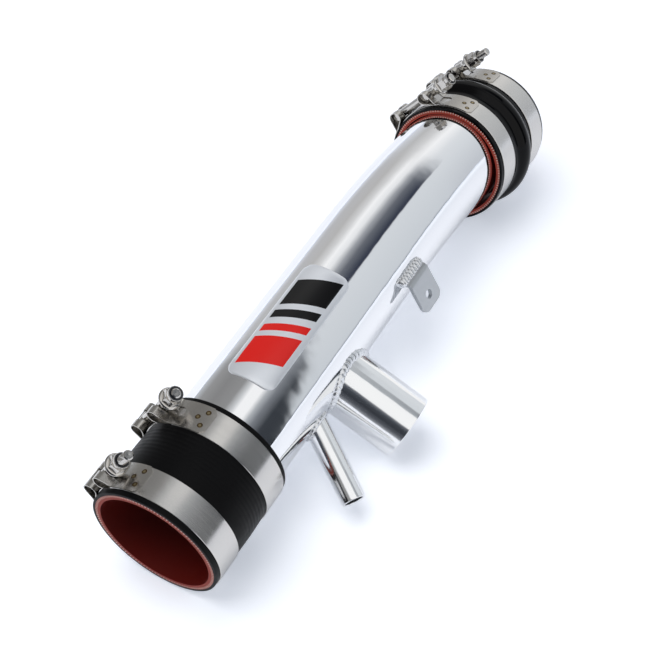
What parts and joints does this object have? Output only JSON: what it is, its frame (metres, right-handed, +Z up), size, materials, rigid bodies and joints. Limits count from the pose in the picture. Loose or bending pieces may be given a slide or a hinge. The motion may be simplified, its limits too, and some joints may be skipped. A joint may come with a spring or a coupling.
{
  "type": "short ram air intake",
  "caption": "Polished intake tube with a gentle bend, welded side ports and bracket, a straight and a hump silicone coupler, and T-bolt hose clamps.",
  "frame": {"origin": "bottom centre of the bounding box, on the surface that the intake lies on", "axes": "+X along the tube from the straight coupler to the hump coupler, +Z up, the ports on the -Y side"},
  "size_m": [0.4616, 0.1406, 0.1185],
  "materials": {
    "polished_aluminium": "mirror polished",
    "weld_aluminium": "rippled weld",
    "black_silicone": "glossy",
    "red_silicone": "matte",
    "stainless_band": "brushed",
    "stainless_hardware": "bright",
    "nylon": "matte",
    "badge_resin": "domed clear resin"
  },
  "bodies": {
    "root": {"badge": "badge_resin", "bracket_weld": "weld_aluminium", "far_front_band": "stainless_band", "far_front_bridge": "stainless_band", "far_front_lock_nut": "stainless_hardware", "far_front_nut_insert": "nylon", "far_front_t_bolt": "stainless_hardware", "far_front_trunnion": "stainless_hardware", "far_rear_band": "stainless_band", "far_rear_bridge": "stainless_band", "far_rear_lock_nut": "stainless_hardware", "far_rear_nut_insert": "nylon", "far_rear_t_bolt": "stainless_hardware", "far_rear_trunnion": "stainless_hardware", "hump_coupler_cover": "black_silicone", "hump_coupler_liner": "red_silicone", "intake_tube": "polished_aluminium", "large_port": "polished_aluminium", "large_port_weld": "weld_aluminium", "mounting_bracket": "polished_aluminium", "near_front_band": "stainless_band", "near_front_bridge": "stainless_band", "near_front_lock_nut": "stainless_hardware", "near_front_nut_insert": "nylon", "near_front_t_bolt": "stainless_hardware", "near_front_trunnion": "stainless_hardware", "near_rear_band": "stainless_band", "near_rear_bridge": "stainless_band", "near_rear_lock_nut": "stainless_hardware", "near_rear_nut_insert": "nylon", "near_rear_t_bolt": "stainless_hardware", "near_rear_trunnion": "stainless_hardware", "small_port": "polished_aluminium", "small_port_weld": "weld_aluminium", "straight_coupler_cover": "black_silicone", "straight_coupler_liner": "red_silicone"}
  },
  "joints": []
}
